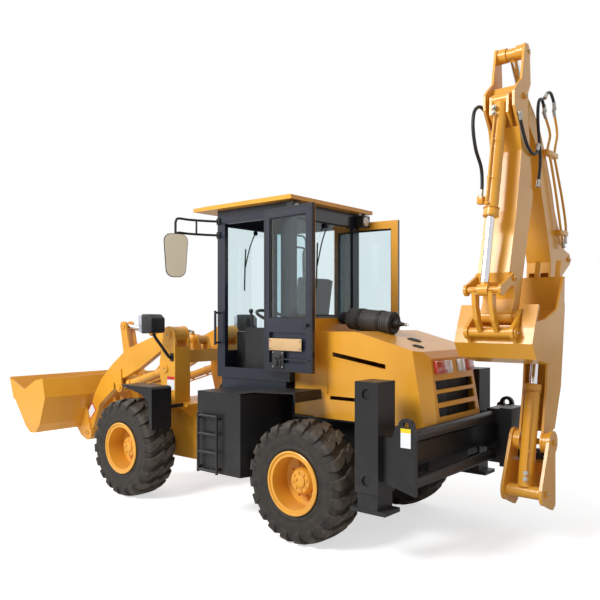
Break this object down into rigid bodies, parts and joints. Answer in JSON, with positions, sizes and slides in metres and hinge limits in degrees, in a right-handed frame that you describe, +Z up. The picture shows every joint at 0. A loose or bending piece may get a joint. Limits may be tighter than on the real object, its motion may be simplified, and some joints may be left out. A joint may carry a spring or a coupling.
{
  "type": "articulated backhoe loader",
  "caption": "Articulated backhoe loader with a front loader bucket, an enclosed cab with open doors, stabilizer legs and a side-shift backhoe folded upright.",
  "frame": {"origin": "middle of the bounding box on the ground plane under the wheels", "axes": "+X towards the loader bucket, +Y to the left of the machine, +Z up"},
  "size_m": [6.033, 2.1849, 3.854],
  "materials": {
    "yellow": "gloss yellow enamel",
    "black": "satin black enamel",
    "cab_dark": "satin blue-black enamel",
    "chrome_rod": "hard chrome",
    "tyre_rubber": "matte rubber",
    "cast": "painted casting",
    "clear": "clear toughened glass",
    "trim": "grained plastic",
    "seat_cover": "black vinyl"
  },
  "bodies": {
    "rear_frame": {"rear_chassis": "black", "rear_axle": "cast", "side_tanks": "black", "cab_shell": "cab_dark", "cab_roof": "yellow", "cab_glass": "clear", "seat": "seat_cover", "console": "trim", "engine_hood": "yellow", "engine_block": "cast", "air_cleaner": "black", "gantry": "black", "stabilizer_posts": "black", "rear_lamps": "trim", "mirrors": "black"},
    "left_door": {"door_left": "cab_dark", "door_left_glass": "clear"},
    "right_door": {"door_right": "cab_dark", "door_right_glass": "clear"},
    "front_body": {"front_frame": "yellow", "front_axle": "cast", "front_fenders": "black", "head_lamps": "black"},
    "arms": {"loader_arms": "yellow"},
    "lift_cylinders": {"lift_barrels": "yellow"},
    "lift_pistons": {"lift_rods": "chrome_rod"},
    "rocker_arm": {"rocker": "yellow"},
    "tilt_cylinder": {"tilt_barrel": "yellow"},
    "tilt_piston": {"tilt_rod": "chrome_rod"},
    "link_rod": {"bucket_link": "yellow"},
    "front_bucket": {"loader_bucket": "yellow"},
    "leg_left": {"stabilizer_leg_left": "black"},
    "leg_right": {"stabilizer_leg_right": "black"},
    "slide_carriage": {"carriage": "black"},
    "tower": {"swing_tower": "yellow"},
    "boom_arm": {"boom": "yellow"},
    "boom_cylinder": {"boom_barrel": "yellow"},
    "boom_piston": {"boom_rod": "chrome_rod"},
    "dipper_arm": {"dipper": "yellow"},
    "dipper_cylinder": {"dipper_barrel": "yellow"},
    "dipper_piston": {"dipper_rod": "chrome_rod"},
    "bucket_cylinder": {"bucket_barrel": "yellow"},
    "bucket_piston": {"bucket_rod": "chrome_rod"},
    "tipping_pair": {"tipping_links": "yellow"},
    "push_bar": {"push_link": "yellow"},
    "rear_bucket": {"backhoe_bucket": "yellow"},
    "wheel_front_left": {"tyre_front_left": "tyre_rubber", "rim_front_left": "yellow"},
    "wheel_front_right": {"tyre_front_right": "tyre_rubber", "rim_front_right": "yellow"},
    "wheel_rear_left": {"tyre_rear_left": "tyre_rubber", "rim_rear_left": "yellow"},
    "wheel_rear_right": {"tyre_rear_right": "tyre_rubber", "rim_rear_right": "yellow"}
  },
  "joints": [
    {"name": "wheel_front_left_turn", "type": "hinge", "parent": "front_body", "child": "wheel_front_left", "pos_m": [0.93, 0.772, 0.49], "axis": [0, 1, 0], "continuous": true},
    {"name": "wheel_front_right_turn", "type": "hinge", "parent": "front_body", "child": "wheel_front_right", "pos_m": [0.93, -0.688, 0.49], "axis": [0, 1, 0], "continuous": true},
    {"name": "wheel_rear_left_turn", "type": "hinge", "parent": "rear_frame", "child": "wheel_rear_left", "pos_m": [-1.32, 0.772, 0.49], "axis": [0, 1, 0], "continuous": true},
    {"name": "wheel_rear_right_turn", "type": "hinge", "parent": "rear_frame", "child": "wheel_rear_right", "pos_m": [-1.32, -0.688, 0.49], "axis": [0, 1, 0], "continuous": true},
    {"name": "articulation", "type": "hinge", "parent": "rear_frame", "child": "front_body", "pos_m": [0.07, 0.042, 0.7], "axis": [0, 0, 1], "range_deg": [-32, 32]},
    {"name": "door_left_swing", "type": "hinge", "parent": "rear_frame", "child": "left_door", "pos_m": [-0.76, 0.607, 2], "axis": [0, 0, 1], "range_deg": [-174, 0]},
    {"name": "door_right_swing", "type": "hinge", "parent": "rear_frame", "child": "right_door", "pos_m": [-0.76, -0.523, 2], "axis": [0, 0, 1], "range_deg": [0, 174]},
    {"name": "arm_lift", "type": "hinge", "parent": "front_body", "child": "arms", "pos_m": [0.71, 0.042, 1.615], "axis": [0, -1, 0], "range_deg": [-8, 70]},
    {"name": "bucket_tilt", "type": "hinge", "parent": "arms", "child": "front_bucket", "pos_m": [2.25, 0.042, 0.44], "axis": [0, 1, 0], "range_deg": [0, 85]},
    {"name": "lift_cylinder_turn", "type": "hinge", "parent": "front_body", "child": "lift_cylinders", "pos_m": [0.76, 0.042, 1.27], "axis": [0, -1, 0], "range_deg": [-8.83, 69.55]},
    {"name": "lift_piston_slide", "type": "slide", "parent": "lift_cylinders", "child": "lift_pistons", "axis": [0.9605, 0, -0.2783], "range_m": [-0.0562, 0.4141]},
    {"name": "tilt_cylinder_turn", "type": "hinge", "parent": "front_body", "child": "tilt_cylinder", "pos_m": [0.74, 0.042, 1.555], "axis": [0, -1, 0], "range_deg": [-8.96, 70.67]},
    {"name": "tilt_piston_slide", "type": "slide", "parent": "tilt_cylinder", "child": "tilt_piston", "axis": [0.9947, 0, 0.1025], "range_m": [-0.4216, 0.01]},
    {"name": "rocker_turn", "type": "hinge", "parent": "arms", "child": "rocker_arm", "pos_m": [1.91, 0.042, 1.09], "axis": [0, -1, 0], "range_deg": [-1, 39.97]},
    {"name": "link_turn", "type": "hinge", "parent": "rocker_arm", "child": "link_rod", "pos_m": [1.72, 0.042, 0.72], "axis": [0, -1, 0], "range_deg": [-36.17, 1]},
    {"name": "leg_left_slide", "type": "slide", "parent": "rear_frame", "child": "leg_left", "axis": [0, 0, -1], "range_m": [0, 0.45]},
    {"name": "leg_right_slide", "type": "slide", "parent": "rear_frame", "child": "leg_right", "axis": [0, 0, -1], "range_m": [0, 0.45]},
    {"name": "side_shift", "type": "slide", "parent": "rear_frame", "child": "slide_carriage", "axis": [0, 1, 0], "range_m": [-0.05, 1.28]},
    {"name": "swing", "type": "hinge", "parent": "slide_carriage", "child": "tower", "pos_m": [-2.72, -0.578, 0.7], "axis": [0, 0, 1], "range_deg": [0, 180]},
    {"name": "boom_lower", "type": "hinge", "parent": "tower", "child": "boom_arm", "pos_m": [-2.72, -0.428, 0.8], "axis": [-1, 0, 0], "range_deg": [0, 95]},
    {"name": "boom_cylinder_turn", "type": "hinge", "parent": "tower", "child": "boom_cylinder", "pos_m": [-2.72, -0.258, 0.425], "axis": [-1, 0, 0], "range_deg": [-1, 77.39]},
    {"name": "boom_piston_slide", "type": "slide", "parent": "boom_cylinder", "child": "boom_piston", "axis": [0, -0.211, 0.9775], "range_m": [-0.4298, 0.01]},
    {"name": "dipper_open", "type": "hinge", "parent": "boom_arm", "child": "dipper_arm", "pos_m": [-2.72, 0.062, 3.44], "axis": [1, 0, 0], "range_deg": [0, 85]},
    {"name": "dipper_cylinder_turn", "type": "hinge", "parent": "boom_arm", "child": "dipper_cylinder", "pos_m": [-2.72, -1.038, 2.3], "axis": [1, 0, 0], "range_deg": [-1, 4.6]},
    {"name": "dipper_piston_slide", "type": "slide", "parent": "dipper_cylinder", "child": "dipper_piston", "axis": [0, 0.5623, 0.8269], "range_m": [-0.509, 0.01]},
    {"name": "rear_bucket_dump", "type": "hinge", "parent": "dipper_arm", "child": "rear_bucket", "pos_m": [-2.72, 0.242, 1.8], "axis": [1, 0, 0], "range_deg": [0, 105]},
    {"name": "tipping_turn", "type": "hinge", "parent": "dipper_arm", "child": "tipping_pair", "pos_m": [-2.72, 0.297, 2.08], "axis": [1, 0, 0], "range_deg": [-1, 93.1]},
    {"name": "push_bar_turn", "type": "hinge", "parent": "tipping_pair", "child": "push_bar", "pos_m": [-2.72, 0.492, 1.99], "axis": [1, 0, 0], "range_deg": [-84.89, 1]},
    {"name": "bucket_cylinder_turn", "type": "hinge", "parent": "dipper_arm", "child": "bucket_cylinder", "pos_m": [-2.72, 0.192, 3.4], "axis": [1, 0, 0], "range_deg": [-1, 1.33]},
    {"name": "bucket_piston_slide", "type": "slide", "parent": "bucket_cylinder", "child": "bucket_piston", "axis": [0, 0.2081, -0.9781], "range_m": [-0.3276, 0.01]}
  ],
  "couplings": [
    {"joint": "lift_cylinder_turn", "follows": "arm_lift", "ratio": 0.97935},
    {"joint": "lift_piston_slide", "follows": "arm_lift", "m_per_rad": 0.33076},
    {"joint": "tilt_cylinder_turn", "follows": "arm_lift", "ratio": 0.99524},
    {"joint": "tilt_piston_slide", "follows": "bucket_tilt", "m_per_rad": -0.27748},
    {"joint": "rocker_turn", "follows": "bucket_tilt", "ratio": 0.45849},
    {"joint": "link_turn", "follows": "bucket_tilt", "ratio": -0.41378},
    {"joint": "boom_cylinder_turn", "follows": "boom_lower", "ratio": 0.80411},
    {"joint": "boom_piston_slide", "follows": "boom_lower", "m_per_rad": -0.25317},
    {"joint": "dipper_cylinder_turn", "follows": "dipper_open", "ratio": 0.04235},
    {"joint": "dipper_piston_slide", "follows": "dipper_open", "m_per_rad": -0.33633},
    {"joint": "tipping_turn", "follows": "rear_bucket_dump", "ratio": 0.87718},
    {"joint": "push_bar_turn", "follows": "rear_bucket_dump", "ratio": -0.79898},
    {"joint": "bucket_cylinder_turn", "follows": "rear_bucket_dump", "ratio": 0.00317},
    {"joint": "bucket_piston_slide", "follows": "rear_bucket_dump", "m_per_rad": -0.1733}
  ]
}
